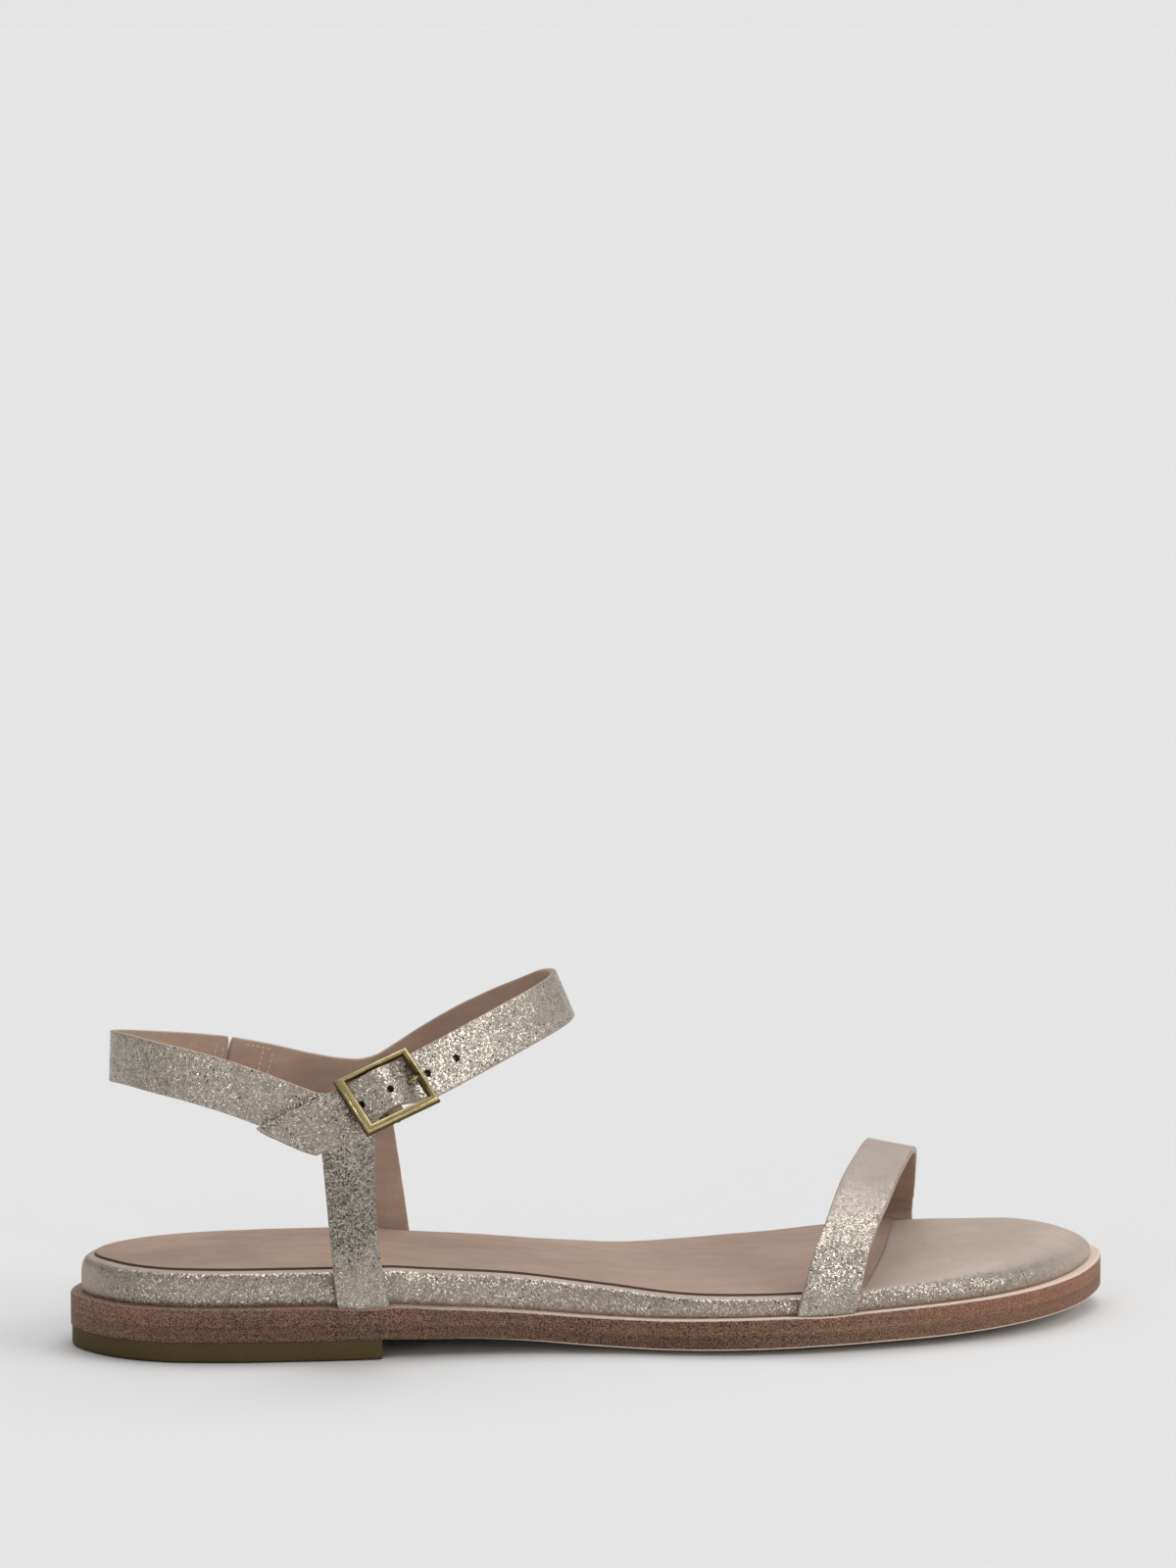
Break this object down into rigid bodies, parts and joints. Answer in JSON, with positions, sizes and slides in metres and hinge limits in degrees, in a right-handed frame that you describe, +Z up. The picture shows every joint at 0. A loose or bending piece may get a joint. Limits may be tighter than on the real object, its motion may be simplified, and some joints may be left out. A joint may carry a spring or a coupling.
{
  "type": "sandal",
  "caption": "Flat ankle-strap sandal for the right foot: layered leather sole with a low heel lift, padded footbed, one toe band, heel strap and a buckled ankle strap.",
  "frame": {"origin": "middle of the sandal's bounding box, at floor level", "axes": "+X from heel to toe, +Y to the medial (big toe) side, +Z up"},
  "size_m": [0.256, 0.089, 0.0876],
  "materials": {
    "heel_rubber": "matte dark olive rubber",
    "burnished_leather": "burnished brown sole leather, fine mottle",
    "natural_leather": "burnished reddish sole leather with a pale raw top edge",
    "metallic_leather": "taupe leather with cracked silver-gold foil",
    "sock_leather": "smooth matte pinkish brown leather",
    "antique_brass": "antiqued brass, bright on worn edges"
  },
  "bodies": {
    "root": {"heel_lift": "heel_rubber", "outsole": "burnished_leather", "midsole": "natural_leather", "footbed": "metallic_leather", "insole": "sock_leather", "toe_strap": "metallic_leather", "lateral_quarter": "metallic_leather", "medial_quarter": "metallic_leather", "buckle_frame": "antique_brass", "buckle_prong": "antique_brass"}
  },
  "joints": []
}
